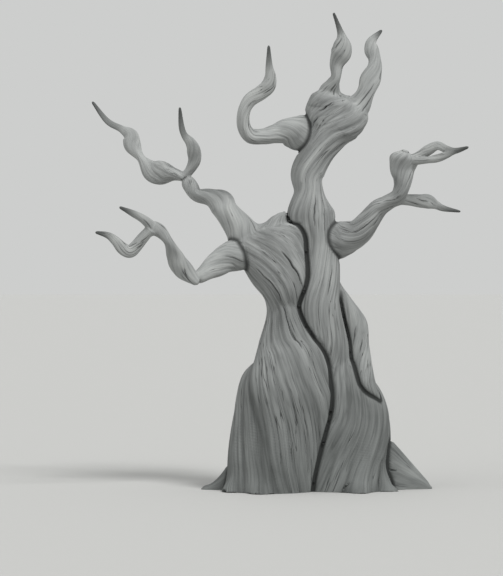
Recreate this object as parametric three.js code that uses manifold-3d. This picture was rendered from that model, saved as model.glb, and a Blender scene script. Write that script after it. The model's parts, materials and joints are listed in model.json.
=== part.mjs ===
// A bare, dead tree about 6 m tall: two grey stems grown together, and the twisted boughs that they end in.
// Millimetres, +Z up. X runs across the tree as seen from its front, and Y from its front to its back.
// The origin is on the flat cut at ground level, under the main stem and in the middle of the trunk.

import * as THREE from 'three';
import { mergeVertices } from 'three/addons/utils/BufferGeometryUtils.js';
import Module from 'manifold-3d';

const wasm = await Module();
wasm.setup();

// Clearance between two pieces that touch, and how far below the ground a stem starts before it is cut flat.
const GAP = 0.3;
const BELOW_GROUND = 150;

// The block of ground that is cut away: its width and its depth.
const GROUND_WIDTH = 8000;
const GROUND_DEPTH = 4 * BELOW_GROUND;

// Corners of a skin that lie this close are one corner.
const SAME_CORNER = 1e-3;
const MM_PER_METRE = 1000;

// Sides of a section, and rings of faces between two stations of a limb.
const STEM = { sides: 28, rings: 2 };
const ROOT = { sides: 12, rings: 2 };
const BOUGH = { sides: 12, rings: 2 };
const TWIG = { sides: 8, rings: 2 };

// A bough is a twisted ribbon of wood. Where it turns its flat side to the front it is wide and thin, and
// where it turns its edge it is narrow and deep. Its depth stays between these shares of its width.
const THINNEST = 0.62;
const DEEPEST = 1.7;

// Long swellings that wind round a limb: how many, how high as a share of the radius, and degrees a metre.
const STEM_FLUTES = { count: 5, height: 0.035, winding: 55 };
const LEFT_STEM_FLUTES = { count: 5, height: 0.025, winding: -55 };
const BOUGH_FLUTES = { count: 3, height: 0.05, winding: 150 };
const NO_FLUTES = { count: 0, height: 0, winding: 0 };

// A colour and finish for each kind of wood.
const STEM_WOOD = { color: 0x84827f, roughness: 0.9, metalness: 0 };
const BOUGH_WOOD = { color: 0x979694, roughness: 0.88, metalness: 0 };

// Limbs. A station is [x, y, z, half width, half depth]. A bough's half depth follows from its girth, the
// half widths of its ribbon at the two ends. Each stem starts below the ground and is cut off flat there.
const RIGHT_STEM = {
  size: STEM,
  flutes: STEM_FLUTES,
  stations: [
    [375, 60, -BELOW_GROUND, 637, 612],
    [388, 75, 350, 614, 585],
    [440, 85, 860, 562, 530],
    [332, 95, 1240, 450, 430],
    [230, 90, 1550, 345, 365],
    [190, 35, 1830, 295, 330],
    [75, -38, 2270, 303, 292],
    [92, -10, 2650, 268, 272],
    [85, 20, 3100, 250, 250],
    [-12, 10, 3430, 290, 245],
    [-26, 0, 3720, 182, 196],
    [-40, 0, 3950, 204, 196],
    [78, 0, 4210, 202, 202],
    [195, 0, 4420, 256, 215],
    [250, 0, 4535, 345, 225],
    [308, 0, 4660, 374, 222],
    [375, 0, 4805, 335, 195],
    [414, 0, 4888, 190, 115],
  ],
};

const LEFT_STEM = {
  size: STEM,
  flutes: LEFT_STEM_FLUTES,
  stations: [
    [-480, -60, -BELOW_GROUND, 590, 635],
    [-425, -75, 350, 600, 635],
    [-335, -90, 860, 610, 600],
    [-280, -110, 1260, 595, 565],
    [-250, -105, 1550, 495, 485],
    [-262, -40, 1830, 395, 385],
    [-290, 20, 2250, 258, 300],
    [-310, -15, 2550, 342, 335],
    [-405, -20, 2830, 418, 340],
    [-485, -20, 3050, 500, 325],
    [-525, -15, 3170, 462, 292],
    [-565, -8, 3232, 350, 220],
    [-600, 0, 3268, 150, 110],
  ],
};

// The low horn on the left stem's shoulder that leans against the main stem.
const SHOULDER_HORN = {
  size: ROOT,
  flutes: NO_FLUTES,
  stations: [
    [-400, 0, 2980, 240, 240],
    [-370, 5, 3200, 180, 190],
    [-352, 8, 3350, 112, 120],
    [-318, 10, 3455, 44, 48],
  ],
};

// Ridges of the root flare. Each runs from inside its stem straight out over the ground, in degrees from +X
// towards +Y, to its reach from the middle of the stem's foot. Its rise is the height of its back where it
// starts, its spread is half its width there, and the more hollow it is, the sooner its back comes down.
const LEFT_FOOT = [-450, -60];
const LEFT_ROOTS = [
  { heading: 118, reach: 1090, rise: 680, spread: 250, hollow: 1.3 },
  { heading: 152, reach: 860, rise: 520, spread: 200, hollow: 1.4 },
  { heading: 180, reach: 925, rise: 900, spread: 200, hollow: 2 },
  { heading: 216, reach: 770, rise: 420, spread: 210, hollow: 1.4 },
  { heading: 255, reach: 800, rise: 330, spread: 270, hollow: 1.4 },
];
const RIGHT_FOOT = [400, 60];
const RIGHT_ROOTS = [
  { heading: 0, reach: 1115, rise: 850, spread: 240, hollow: 1 },
  { heading: 38, reach: 900, rise: 560, spread: 230, hollow: 1.4 },
  { heading: 76, reach: 1180, rise: 720, spread: 250, hollow: 1.2 },
  { heading: 286, reach: 800, rise: 330, spread: 270, hollow: 1.4 },
  { heading: 326, reach: 800, rise: 420, spread: 230, hollow: 1.4 },
];
const ROOT_STATIONS = 5;
const ROOT_START = 0.35;
const ROOT_END_SPREAD = 0.28;
const ROOT_END_RISE = 35;
const ROOT_MIDDLE = -20;

// The side strand: a rope of wood that leaves the main stem's right side and grows back into it lower down.
const SIDE_STRAND = {
  size: BOUGH,
  flutes: BOUGH_FLUTES,
  girth: [85, 110],
  stations: [
    [330, -30, 2570, 45],
    [448, 0, 2290, 102],
    [552, 15, 2055, 144],
    [594, 0, 1840, 131],
    [620, -50, 1640, 131],
    [655, -140, 1430, 118],
    [712, -175, 1285, 96],
    [800, -125, 1150, 64],
    [885, -70, 1005, 30],
  ],
};

const UPPER_LEFT_BOUGH = {
  size: BOUGH,
  flutes: BOUGH_FLUTES,
  girth: [240, 78],
  stations: [
    [-620, -20, 2960, 280],
    [-790, -20, 3120, 250],
    [-890, 20, 3270, 190],
    [-1040, 70, 3450, 152],
    [-1135, 105, 3575, 164],
    [-1270, 150, 3650, 110],
    [-1430, 195, 3685, 84],
    [-1505, 220, 3790, 94],
    [-1580, 240, 3905, 76],
  ],
};

const UPPER_LEFT_LIMB = {
  size: BOUGH,
  flutes: BOUGH_FLUTES,
  girth: [95, 20],
  stations: [
    [-1565, 238, 3895, 52],
    [-1710, 280, 3945, 76],
    [-1862, 330, 3970, 146],
    [-2006, 375, 4003, 132],
    [-2145, 430, 4153, 54],
    [-2252, 480, 4318, 106],
    [-2281, 515, 4453, 94],
    [-2400, 555, 4537, 46],
    [-2587, 610, 4642, 38],
    [-2785, 690, 4900, 17],
  ],
};

const UPPER_LEFT_TWIG = {
  size: TWIG,
  flutes: BOUGH_FLUTES,
  girth: [62, 17],
  stations: [
    [-1595, 245, 3915, 52],
    [-1520, 210, 4000, 60],
    [-1460, 165, 4115, 80],
    [-1465, 115, 4240, 86],
    [-1508, 80, 4335, 66],
    [-1585, 50, 4425, 42],
    [-1622, 25, 4540, 36],
    [-1640, -30, 4775, 15],
  ],
};

const LOWER_LEFT_BOUGH = {
  size: BOUGH,
  flutes: BOUGH_FLUTES,
  girth: [200, 76],
  stations: [
    [-780, -70, 2955, 225],
    [-970, -120, 2915, 196],
    [-1085, -165, 2870, 172],
    [-1215, -225, 2780, 144],
    [-1330, -295, 2690, 100],
    [-1440, -365, 2612, 75],
  ],
};

// The limb turns sharply up from the low elbow at the bough's end and climbs to a knee, where it forks.
const LOWER_LEFT_LIMB = {
  size: BOUGH,
  flutes: BOUGH_FLUTES,
  girth: [92, 66],
  stations: [
    [-1412, -355, 2585, 56],
    [-1548, -430, 2702, 110],
    [-1632, -485, 2805, 116],
    [-1690, -545, 2920, 98],
    [-1765, -640, 3087, 56],
    [-1868, -735, 3205, 82],
    [-1975, -820, 3252, 90],
  ],
};

const LOWER_LEFT_HIGH_TWIG = {
  size: TWIG,
  flutes: BOUGH_FLUTES,
  girth: [58, 15],
  stations: [
    [-1930, -785, 3232, 72],
    [-2056, -880, 3347, 52],
    [-2187, -960, 3420, 40],
    [-2342, -1060, 3490, 14],
  ],
};

const LOWER_LEFT_LOW_TWIG = {
  size: TWIG,
  flutes: BOUGH_FLUTES,
  girth: [66, 15],
  stations: [
    [-1952, -800, 3245, 60],
    [-2079, -785, 3105, 70],
    [-2150, -775, 3022, 74],
    [-2228, -775, 2962, 78],
    [-2316, -790, 2998, 73],
    [-2395, -830, 3080, 58],
    [-2490, -880, 3150, 40],
    [-2640, -960, 3188, 14],
  ],
};

// The hook: a bough that runs out to the left and bends straight up.
const HOOK = {
  size: BOUGH,
  flutes: BOUGH_FLUTES,
  girth: [175, 17],
  bend: 6,
  stations: [
    [20, 50, 4425, 255],
    [-170, -25, 4445, 215],
    [-330, -125, 4463, 158],
    [-455, -185, 4428, 120],
    [-600, -265, 4385, 98],
    [-755, -345, 4390, 92],
    [-835, -400, 4500, 82],
    [-838, -450, 4665, 76],
    [-768, -495, 4812, 84],
    [-630, -530, 4912, 90],
    [-538, -560, 5000, 90],
    [-512, -580, 5112, 68],
    [-526, -600, 5240, 43],
    [-534, -640, 5488, 14],
  ],
};

const CROWN_LEFT_PRONG = {
  size: BOUGH,
  flutes: BOUGH_FLUTES,
  girth: [120, 15],
  stations: [
    [225, 0, 4780, 160],
    [228, -30, 4950, 138],
    [275, -62, 5060, 86],
    [310, -95, 5150, 62],
    [317, -140, 5297, 88],
    [365, -180, 5432, 126],
    [380, -210, 5545, 106],
    [363, -240, 5674, 44],
    [268, -290, 5930, 14],
  ],
};

const CROWN_RIGHT_PRONG = {
  size: BOUGH,
  flutes: BOUGH_FLUTES,
  girth: [140, 15],
  stations: [
    [350, 0, 4460, 45],
    [495, 0, 4610, 110],
    [605, 12, 4775, 136],
    [690, 40, 4960, 110],
    [742, 80, 5125, 130],
    [798, 125, 5283, 94],
    [802, 160, 5395, 78],
    [770, 200, 5510, 92],
    [772, 230, 5624, 58],
    [905, 280, 5770, 14],
  ],
};

// The right bough runs out and up in an S to an elbow, and from there straight up to a clenched head.
const RIGHT_BOUGH = {
  size: BOUGH,
  flutes: BOUGH_FLUTES,
  girth: [225, 105],
  bend: 7,
  stations: [
    [130, 20, 3080, 265],
    [330, -5, 3112, 235],
    [460, -45, 3140, 200],
    [598, -105, 3212, 164],
    [712, -165, 3350, 138],
    [820, -225, 3495, 116],
    [940, -290, 3572, 94],
    [1055, -345, 3638, 92],
    [1112, -375, 3744, 98],
    [1125, -395, 3862, 118],
    [1114, -410, 3980, 158],
    [1128, -425, 4110, 174],
    [1150, -435, 4200, 100],
  ],
};

// Two strands that wind round each other and meet in one tip.
const RIGHT_HIGH_TWIGS = [
  {
    size: TWIG,
    flutes: NO_FLUTES,
    girth: [60, 15],
    stations: [
      [1125, -425, 4040, 80],
      [1299, -450, 4125, 62],
      [1423, -500, 4200, 66],
      [1535, -550, 4256, 54],
      [1641, -610, 4212, 46],
      [1744, -665, 4190, 38],
      [1908, -745, 4232, 14],
    ],
  },
  {
    size: TWIG,
    flutes: NO_FLUTES,
    girth: [54, 26],
    stations: [
      [1220, -445, 4080, 60],
      [1391, -540, 4082, 42],
      [1532, -615, 4100, 50],
      [1648, -645, 4140, 42],
      [1744, -665, 4187, 26],
    ],
  },
];

const RIGHT_LOW_TWIG = {
  size: TWIG,
  flutes: BOUGH_FLUTES,
  girth: [68, 15],
  stations: [
    [1030, -320, 3612, 64],
    [1200, -240, 3606, 68],
    [1352, -165, 3592, 82],
    [1460, -110, 3584, 88],
    [1558, -55, 3550, 54],
    [1660, -5, 3508, 38],
    [1884, 90, 3468, 12],
  ],
};

// The back bough stands behind the main stem and its head, where the front view can't see it.
const BACK_BOUGH = {
  size: BOUGH,
  flutes: BOUGH_FLUTES,
  facing: 'x',
  girth: [190, 105],
  stations: [
    [80, 90, 2700, 240],
    [60, 300, 2860, 175],
    [20, 480, 3010, 135],
    [-20, 620, 3200, 125],
    [-10, 760, 3390, 110],
    [20, 930, 3500, 120],
  ],
};

const BACK_LOW_LIMB = {
  size: BOUGH,
  flutes: BOUGH_FLUTES,
  facing: 'x',
  girth: [82, 15],
  stations: [
    [15, 890, 3480, 90],
    [-20, 1080, 3520, 62],
    [-50, 1240, 3560, 92],
    [-30, 1370, 3660, 86],
    [0, 1440, 3800, 46],
    [20, 1540, 3930, 40],
    [10, 1700, 4060, 14],
  ],
};

const BACK_HIGH_LIMB = {
  size: BOUGH,
  flutes: BOUGH_FLUTES,
  facing: 'x',
  girth: [88, 15],
  stations: [
    [20, 860, 3470, 80],
    [10, 930, 3670, 68],
    [-10, 900, 3860, 96],
    [0, 830, 4040, 88],
    [90, 800, 4210, 48],
    [210, 850, 4360, 84],
    [290, 900, 4500, 64],
    [360, 890, 4760, 14],
  ],
};

// The smooth curves through a limb's stations: one through their places, and one through their half sizes.
function curvesOf(limb) {
  const last = limb.stations.length - 1;
  const places = limb.stations.map(([x, y, z]) => new THREE.Vector3(x, y, z));
  const sizes = limb.stations.map(([, , , halfWidth, halfDepth], i) => {
    const depth = halfDepth ?? ribbonDepth(limb.girth, i / last, halfWidth);
    return new THREE.Vector3(halfWidth, depth, 0);
  });
  return {
    line: new THREE.CatmullRomCurve3(places, false, 'catmullrom'),
    size: new THREE.CatmullRomCurve3(sizes, false, 'catmullrom'),
  };
}

// Half the depth of a ribbon at this share of its length, where it shows this half width.
function ribbonDepth([baseGirth, tipGirth], share, halfWidth) {
  const girth = THREE.MathUtils.lerp(baseGirth, tipGirth, share);
  return THREE.MathUtils.clamp(girth ** 2 / halfWidth, THINNEST * halfWidth, DEEPEST * halfWidth);
}

// A limb's frame at a place on its curves. Its width lies across the facing axis, and its depth along it.
function frameAt(curves, facing, u) {
  const along = curves.line.getTangent(u);
  const axis = new THREE.Vector3(facing === 'x' ? 1 : 0, facing === 'y' ? 1 : 0, facing === 'z' ? 1 : 0);
  const across = axis.cross(along).normalize();
  const deep = across.clone().cross(along);
  return { centre: curves.line.getPoint(u), half: curves.size.getPoint(u), along, across, deep };
}

// How far a winding flute swells the section at this angle, after this length of limb in millimetres.
function swelling(flutes, angle, length) {
  const winding = THREE.MathUtils.degToRad(flutes.winding) * (length / MM_PER_METRE);
  return 1 + flutes.height * Math.cos(flutes.count * (angle + winding));
}

// A limb's closed solid between two of its stations: a unit cylinder whose rings are laid along its curves.
function limbSolid(limb, { first = 0, last = limb.stations.length - 1, grow = 0 } = {}) {
  const curves = curvesOf(limb);
  const whole = limb.stations.length - 1;
  const length = curves.line.getLength();
  const rings = (last - first) * limb.size.rings;
  const skin = new THREE.CylinderGeometry(1, 1, 1, limb.size.sides, rings);
  const frames = Array.from({ length: rings + 1 }, (_, ring) => {
    const u = (first + (ring / rings) * (last - first)) / whole;
    return { ...frameAt(curves, limb.facing ?? 'y', u), length: u * length };
  });
  const position = skin.attributes.position;
  for (let i = 0; i < position.count; i += 1) {
    const frame = frames[Math.round((position.getY(i) + 0.5) * rings)];
    const angle = Math.atan2(position.getZ(i), position.getX(i));
    const swell = swelling(limb.flutes, angle, frame.length);
    const wide = position.getX(i) * frame.half.x * swell;
    const deep = position.getZ(i) * frame.half.y * swell;
    const point = frame.centre.clone().addScaledVector(frame.across, wide).addScaledVector(frame.deep, deep);
    position.setXYZ(i, point.x, point.y, point.z);
  }
  return solidOf(skin, grow);
}

// A root ridge. Its sections stand in the ground with their middles just under it, so that it is widest where
// it meets the ground. They face along Z, because some roots run straight to the front or back.
function rootSolid([footX, footY], { heading, reach, rise, spread, hollow }, grow) {
  const direction = THREE.MathUtils.degToRad(heading);
  const stations = Array.from({ length: ROOT_STATIONS }, (_, i) => {
    const share = i / (ROOT_STATIONS - 1);
    const out = THREE.MathUtils.lerp(ROOT_START, 1, share) * reach;
    const halfWidth = THREE.MathUtils.lerp(1, ROOT_END_SPREAD, share) * spread;
    const height = ROOT_END_RISE + (rise - ROOT_END_RISE) * (1 - share) ** hollow;
    const place = [footX + out * Math.cos(direction), footY + out * Math.sin(direction), ROOT_MIDDLE];
    return [...place, halfWidth, height - ROOT_MIDDLE];
  });
  return limbSolid({ size: ROOT, flutes: NO_FLUTES, facing: 'z', stations }, { grow });
}

// A closed geometry as a solid for joining and cutting, with its skin moved out by as much as it is to grow.
function solidOf(geometry, grow = 0) {
  geometry.deleteAttribute('normal');
  geometry.deleteAttribute('uv');
  const merged = mergeVertices(geometry, SAME_CORNER);
  if (grow > 0) {
    merged.computeVertexNormals();
    const { position, normal } = merged.attributes;
    for (let i = 0; i < position.count; i += 1) {
      const corner = new THREE.Vector3().fromBufferAttribute(position, i);
      corner.addScaledVector(new THREE.Vector3().fromBufferAttribute(normal, i), grow);
      position.setXYZ(i, corner.x, corner.y, corner.z);
    }
  }
  return new wasm.Manifold(new wasm.Mesh({
    numProp: 3,
    vertProperties: new Float32Array(merged.attributes.position.array),
    triVerts: new Uint32Array(merged.index.array),
  }));
}

// The same solid with everything under the ground cut off flat.
function cutAtGround(solid) {
  const ground = new THREE.BoxGeometry(GROUND_WIDTH, GROUND_WIDTH, GROUND_DEPTH);
  ground.translate(0, 0, -GROUND_DEPTH / 2);
  return solid.subtract(solidOf(ground));
}

// The largest piece of a solid, without the scraps that a cut leaves.
function largest(solid) {
  return solid.decompose().reduce((best, piece) => (piece.volume() > best.volume() ? piece : best));
}

// A solid cut clear of others, which are given a little too large so that the gap between them is left open.
function clearOf(solid, ...others) {
  return largest(others.reduce((left, other) => left.subtract(other), solid));
}

const joined = (...solids) => solids.reduce((whole, next) => whole.add(next));

function rightStem(grow = 0) {
  const ridges = RIGHT_ROOTS.map((root) => rootSolid(RIGHT_FOOT, root, grow));
  return joined(limbSolid(RIGHT_STEM, { grow }), ...ridges);
}

function leftStem(grow = 0) {
  const ridges = LEFT_ROOTS.map((root) => rootSolid(LEFT_FOOT, root, grow));
  return joined(limbSolid(LEFT_STEM, { grow }), limbSolid(SHOULDER_HORN, { grow }), ...ridges);
}

// The two halves of a limb that is split at its bend, where they meet face to face.
const lowerHalf = (limb, grow = 0) => limbSolid(limb, { last: limb.bend, grow });
const upperHalf = (limb, grow = 0) => limbSolid(limb, { first: limb.bend, grow });

// A limb with its clearance round it, to cut its neighbours with.
const grown = (limb) => limbSolid(limb, { grow: GAP });

const tree = new THREE.Group();

function addPiece(name, solid, wood) {
  const { vertProperties, triVerts } = solid.getMesh();
  const geometry = new THREE.BufferGeometry();
  geometry.setAttribute('position', new THREE.BufferAttribute(vertProperties, 3));
  geometry.setIndex(new THREE.BufferAttribute(triVerts, 1));
  geometry.computeVertexNormals();
  const piece = new THREE.Mesh(geometry, new THREE.MeshStandardMaterial(wood));
  piece.name = name;
  tree.add(piece);
}

// A bough or twig, cut clear of what carries it and of the neighbours that it would touch.
function addBough(name, solid, ...neighbours) {
  addPiece(name, clearOf(solid, ...neighbours), BOUGH_WOOD);
}

// Stems. The main stem is whole, and the left one is cut where it presses against it.
const mainStem = rightStem(GAP);
const otherStem = leftStem(GAP);
addPiece('right_stem', largest(cutAtGround(rightStem())), STEM_WOOD);
addPiece('left_stem', clearOf(cutAtGround(leftStem()), mainStem), STEM_WOOD);
addPiece('side_strand', clearOf(limbSolid(SIDE_STRAND), mainStem), STEM_WOOD);

// Upper left: a bough, the limb that it goes on as, and the twig that stands up where they meet.
const upperLeft = grown(UPPER_LEFT_BOUGH);
addBough('upper_left_bough', limbSolid(UPPER_LEFT_BOUGH), otherStem);
addBough('upper_left_limb', limbSolid(UPPER_LEFT_LIMB), upperLeft);
addBough('upper_left_twig', limbSolid(UPPER_LEFT_TWIG), upperLeft, grown(UPPER_LEFT_LIMB));

// Lower left: a bough down to the low elbow, the limb up from it to the knee, and the two twigs of its fork.
const lowerLeftLimb = grown(LOWER_LEFT_LIMB);
addBough('lower_left_bough', limbSolid(LOWER_LEFT_BOUGH), otherStem, upperLeft);
addBough('lower_left_limb', limbSolid(LOWER_LEFT_LIMB), grown(LOWER_LEFT_BOUGH));
addBough('lower_left_high_twig', limbSolid(LOWER_LEFT_HIGH_TWIG), lowerLeftLimb);
addBough('lower_left_low_twig', limbSolid(LOWER_LEFT_LOW_TWIG), lowerLeftLimb, grown(LOWER_LEFT_HIGH_TWIG));

// Hook, on the left of the main stem's head.
addBough('hook_bough', lowerHalf(HOOK), mainStem);
addBough('hook_limb', upperHalf(HOOK), lowerHalf(HOOK, GAP));

// Crown: the two prongs on top of the main stem's head.
addBough('crown_left_prong', limbSolid(CROWN_LEFT_PRONG), mainStem);
addBough('crown_right_prong', limbSolid(CROWN_RIGHT_PRONG), mainStem, grown(CROWN_LEFT_PRONG));

// Right: the bough to its elbow, the riser that ends in the head, the twigs of the head and of the elbow.
const elbow = [lowerHalf(RIGHT_BOUGH, GAP), upperHalf(RIGHT_BOUGH, GAP)];
const highTwigs = joined(...RIGHT_HIGH_TWIGS.map((twig) => limbSolid(twig)));
addBough('right_bough', lowerHalf(RIGHT_BOUGH), mainStem);
addBough('right_riser', upperHalf(RIGHT_BOUGH), elbow[0]);
addBough('right_high_twigs', highTwigs, ...elbow);
addBough('right_low_twig', limbSolid(RIGHT_LOW_TWIG), ...elbow);

// Back: a bough and the two limbs of its fork.
const back = grown(BACK_BOUGH);
addBough('back_bough', limbSolid(BACK_BOUGH), mainStem, otherStem);
addBough('back_low_limb', limbSolid(BACK_LOW_LIMB), back);
addBough('back_high_limb', limbSolid(BACK_HIGH_LIMB), back, grown(BACK_LOW_LIMB));

export default tree;
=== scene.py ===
# A bare, dead tree about 6 m tall: barkless, silver-grey stems grown together, and boughs twisted like ropes.
# Metres, +Z up. X runs across the tree as seen from its front, and Y from its front to its back.
# The whole tree is grown as one skin of wood, and then parted where one limb takes over from the next.

import json
import math
from dataclasses import dataclass
from itertools import product

import bmesh
import bpy
import numpy as np
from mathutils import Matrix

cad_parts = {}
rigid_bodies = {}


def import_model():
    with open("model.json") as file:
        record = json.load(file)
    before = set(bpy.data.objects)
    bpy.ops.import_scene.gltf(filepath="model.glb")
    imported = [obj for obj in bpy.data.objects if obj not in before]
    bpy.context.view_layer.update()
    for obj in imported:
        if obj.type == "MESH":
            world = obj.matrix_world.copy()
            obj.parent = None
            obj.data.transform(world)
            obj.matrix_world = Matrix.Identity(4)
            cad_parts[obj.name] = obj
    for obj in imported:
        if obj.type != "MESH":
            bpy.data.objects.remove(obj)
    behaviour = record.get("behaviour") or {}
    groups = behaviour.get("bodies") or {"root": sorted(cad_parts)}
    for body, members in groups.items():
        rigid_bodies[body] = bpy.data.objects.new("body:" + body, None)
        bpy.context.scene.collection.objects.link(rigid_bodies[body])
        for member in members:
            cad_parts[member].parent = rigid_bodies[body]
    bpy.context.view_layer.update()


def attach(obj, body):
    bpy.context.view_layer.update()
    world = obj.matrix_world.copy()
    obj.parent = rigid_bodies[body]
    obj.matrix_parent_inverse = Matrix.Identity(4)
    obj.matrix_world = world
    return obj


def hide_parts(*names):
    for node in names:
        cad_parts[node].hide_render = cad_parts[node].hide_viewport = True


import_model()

# Distance between the corners of the skin.
GRIT = 0.009

# How far apart a limb's frames are taken, how few it may have, and over how many points its length is taken.
FRAME_STEP = 0.02
LEAST_FRAMES = 12
LENGTH_POINTS = 200

# The sides of a limb's first rough tube, and how far apart the rings of that tube are.
TUBE_SIDES = 32
TUBE_RING_STEP = 0.03

# A limb's tip is closed like a dome. Its butt, inside the wood that it grows from, is nearly flat. Neither
# gets thinner than this share of the limb.
BUTT_DOME = 0.4
LEAST_DOME_SHARE = 0.02

# A bough is a twisted ribbon of wood. Its depth stays between these shares of its width.
THINNEST = 0.62
DEEPEST = 1.7

# Long swellings that wind round a limb: how many, how high as a share of the radius, and degrees a metre.
STEM_FLUTES = (5, 0.035, 55)
LEFT_STEM_FLUTES = (5, 0.025, -55)
BOUGH_FLUTES = (3, 0.05, 150)
NO_FLUTES = (0, 0.0, 0)


@dataclass(eq=False)
class Limb:
    """One tapering limb. A station is x, y, z, half width and, where the girth doesn't give it, half depth.
    The girth is the radius that it would have at its butt and its tip if it were round. Widths are seen along
    the axis that it faces. Beyond the station of its bend it belongs to another piece, and a limb with a host
    carries on the grain of that limb."""

    piece: str
    stations: list
    girth: tuple = None
    flutes: tuple = BOUGH_FLUTES
    facing: str = "y"
    melt: float = 0.05
    bend: int = None
    beyond: str = None
    host: object = None


@dataclass(eq=False)
class Growth:
    """Limbs that belong together, how wide they melt into what they grow on, and how deep the seam is there,
    as a share of the deepest."""

    limbs: list
    melt: float
    seam: float


RIGHT_STEM = Limb("right_stem", flutes=STEM_FLUTES, bend=5, beyond="right_stem_upper", stations=[
    (0.375, 0.060, -0.150, 0.637, 0.612),
    (0.388, 0.075, 0.350, 0.614, 0.585),
    (0.440, 0.085, 0.860, 0.562, 0.530),
    (0.332, 0.095, 1.240, 0.450, 0.430),
    (0.230, 0.090, 1.550, 0.345, 0.365),
    (0.190, 0.035, 1.830, 0.295, 0.330),
    (0.075, -0.038, 2.270, 0.303, 0.292),
    (0.092, -0.010, 2.650, 0.268, 0.272),
    (0.085, 0.020, 3.100, 0.250, 0.250),
    (-0.012, 0.010, 3.430, 0.290, 0.245),
    (-0.026, 0.000, 3.720, 0.182, 0.196),
    (-0.040, 0.000, 3.950, 0.204, 0.196),
    (0.078, 0.000, 4.210, 0.202, 0.202),
    (0.195, 0.000, 4.420, 0.256, 0.215),
    (0.250, 0.000, 4.535, 0.345, 0.225),
    (0.308, 0.000, 4.660, 0.374, 0.222),
    (0.375, 0.000, 4.805, 0.335, 0.195),
    (0.414, 0.000, 4.888, 0.190, 0.115),
])

LEFT_STEM = Limb("left_stem", flutes=LEFT_STEM_FLUTES, bend=5, beyond="left_stem_upper", stations=[
    (-0.480, -0.060, -0.150, 0.590, 0.635),
    (-0.425, -0.075, 0.350, 0.600, 0.635),
    (-0.335, -0.090, 0.860, 0.610, 0.600),
    (-0.280, -0.110, 1.260, 0.595, 0.565),
    (-0.250, -0.105, 1.550, 0.495, 0.485),
    (-0.262, -0.040, 1.830, 0.395, 0.385),
    (-0.290, 0.020, 2.250, 0.258, 0.300),
    (-0.310, -0.015, 2.550, 0.342, 0.335),
    (-0.405, -0.020, 2.830, 0.418, 0.340),
    (-0.485, -0.020, 3.050, 0.500, 0.325),
    (-0.526, -0.015, 3.170, 0.462, 0.292),
    (-0.547, -0.008, 3.232, 0.340, 0.220),
    (-0.560, 0.000, 3.268, 0.130, 0.110),
])

SHOULDER_HORN = Limb("left_stem_upper", flutes=LEFT_STEM_FLUTES, melt=0.12, stations=[
    (-0.400, 0.000, 2.980, 0.290, 0.260),
    (-0.400, 0.005, 3.180, 0.250, 0.240),
    (-0.385, 0.006, 3.300, 0.172, 0.195),
    (-0.352, 0.008, 3.385, 0.100, 0.125),
    (-0.318, 0.010, 3.455, 0.044, 0.048),
])

# Ridges of the root flare, by heading in degrees from +X towards +Y, reach, rise, spread and hollowness. The
# two at the sides stand apart from their stems behind a seam, and the others flow into them.
LEFT_FOOT = (-0.450, -0.060)
LEFT_SIDE_RIDGE = (180, 0.925, 0.900, 0.200, 2.0)
LEFT_RIDGES = [
    (118, 1.090, 0.680, 0.250, 1.3),
    (152, 0.860, 0.520, 0.200, 1.4),
    (216, 0.770, 0.420, 0.210, 1.4),
    (255, 0.800, 0.330, 0.270, 1.4),
]
RIGHT_FOOT = (0.400, 0.060)
RIGHT_SIDE_RIDGE = (0, 1.115, 0.850, 0.240, 1.0)
RIGHT_RIDGES = [
    (38, 0.900, 0.560, 0.230, 1.4),
    (76, 1.180, 0.720, 0.250, 1.2),
    (286, 0.800, 0.330, 0.270, 1.4),
    (326, 0.800, 0.420, 0.230, 1.4),
]

# A ridge starts at a share of its reach, and ends at a share of its spread and at a height. Its middle line
# runs a little below the ground.
RIDGE_STATIONS = 5
RIDGE_START = 0.35
RIDGE_END_SPREAD = 0.28
RIDGE_END_RISE = 0.035
RIDGE_MIDDLE = -0.020
RIDGE_MELT = 0.22

SIDE_STRAND = Limb("side_strand", girth=(0.085, 0.110), stations=[
    (0.335, -0.030, 2.590, 0.018),
    (0.448, 0.000, 2.290, 0.102),
    (0.552, 0.015, 2.055, 0.144),
    (0.594, 0.000, 1.840, 0.131),
    (0.620, -0.050, 1.640, 0.131),
    (0.655, -0.140, 1.430, 0.118),
    (0.712, -0.175, 1.285, 0.096),
    (0.800, -0.125, 1.150, 0.064),
    (0.885, -0.070, 1.005, 0.030),
])

UPPER_LEFT_BOUGH = Limb("upper_left_bough", girth=(0.240, 0.078), stations=[
    (-0.620, -0.020, 2.960, 0.280),
    (-0.790, -0.020, 3.120, 0.250),
    (-0.890, 0.020, 3.270, 0.190),
    (-1.040, 0.070, 3.450, 0.152),
    (-1.135, 0.105, 3.575, 0.164),
    (-1.270, 0.150, 3.650, 0.110),
    (-1.430, 0.195, 3.685, 0.084),
    (-1.505, 0.220, 3.790, 0.094),
    (-1.580, 0.240, 3.905, 0.076),
])

UPPER_LEFT_LIMB = Limb("upper_left_limb", girth=(0.095, 0.020), melt=0.03, stations=[
    (-1.565, 0.238, 3.895, 0.052),
    (-1.710, 0.280, 3.945, 0.076),
    (-1.862, 0.330, 3.970, 0.146),
    (-2.006, 0.375, 4.003, 0.132),
    (-2.145, 0.430, 4.153, 0.054),
    (-2.252, 0.480, 4.318, 0.106),
    (-2.281, 0.515, 4.453, 0.094),
    (-2.400, 0.555, 4.537, 0.046),
    (-2.587, 0.610, 4.642, 0.038),
    (-2.785, 0.690, 4.900, 0.017),
])

UPPER_LEFT_TWIG = Limb("upper_left_twig", girth=(0.062, 0.017), melt=0.03, stations=[
    (-1.595, 0.245, 3.915, 0.052),
    (-1.520, 0.210, 4.000, 0.060),
    (-1.460, 0.165, 4.115, 0.080),
    (-1.465, 0.115, 4.240, 0.086),
    (-1.508, 0.080, 4.335, 0.066),
    (-1.585, 0.050, 4.425, 0.042),
    (-1.622, 0.025, 4.540, 0.036),
    (-1.640, -0.030, 4.775, 0.015),
])

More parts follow.
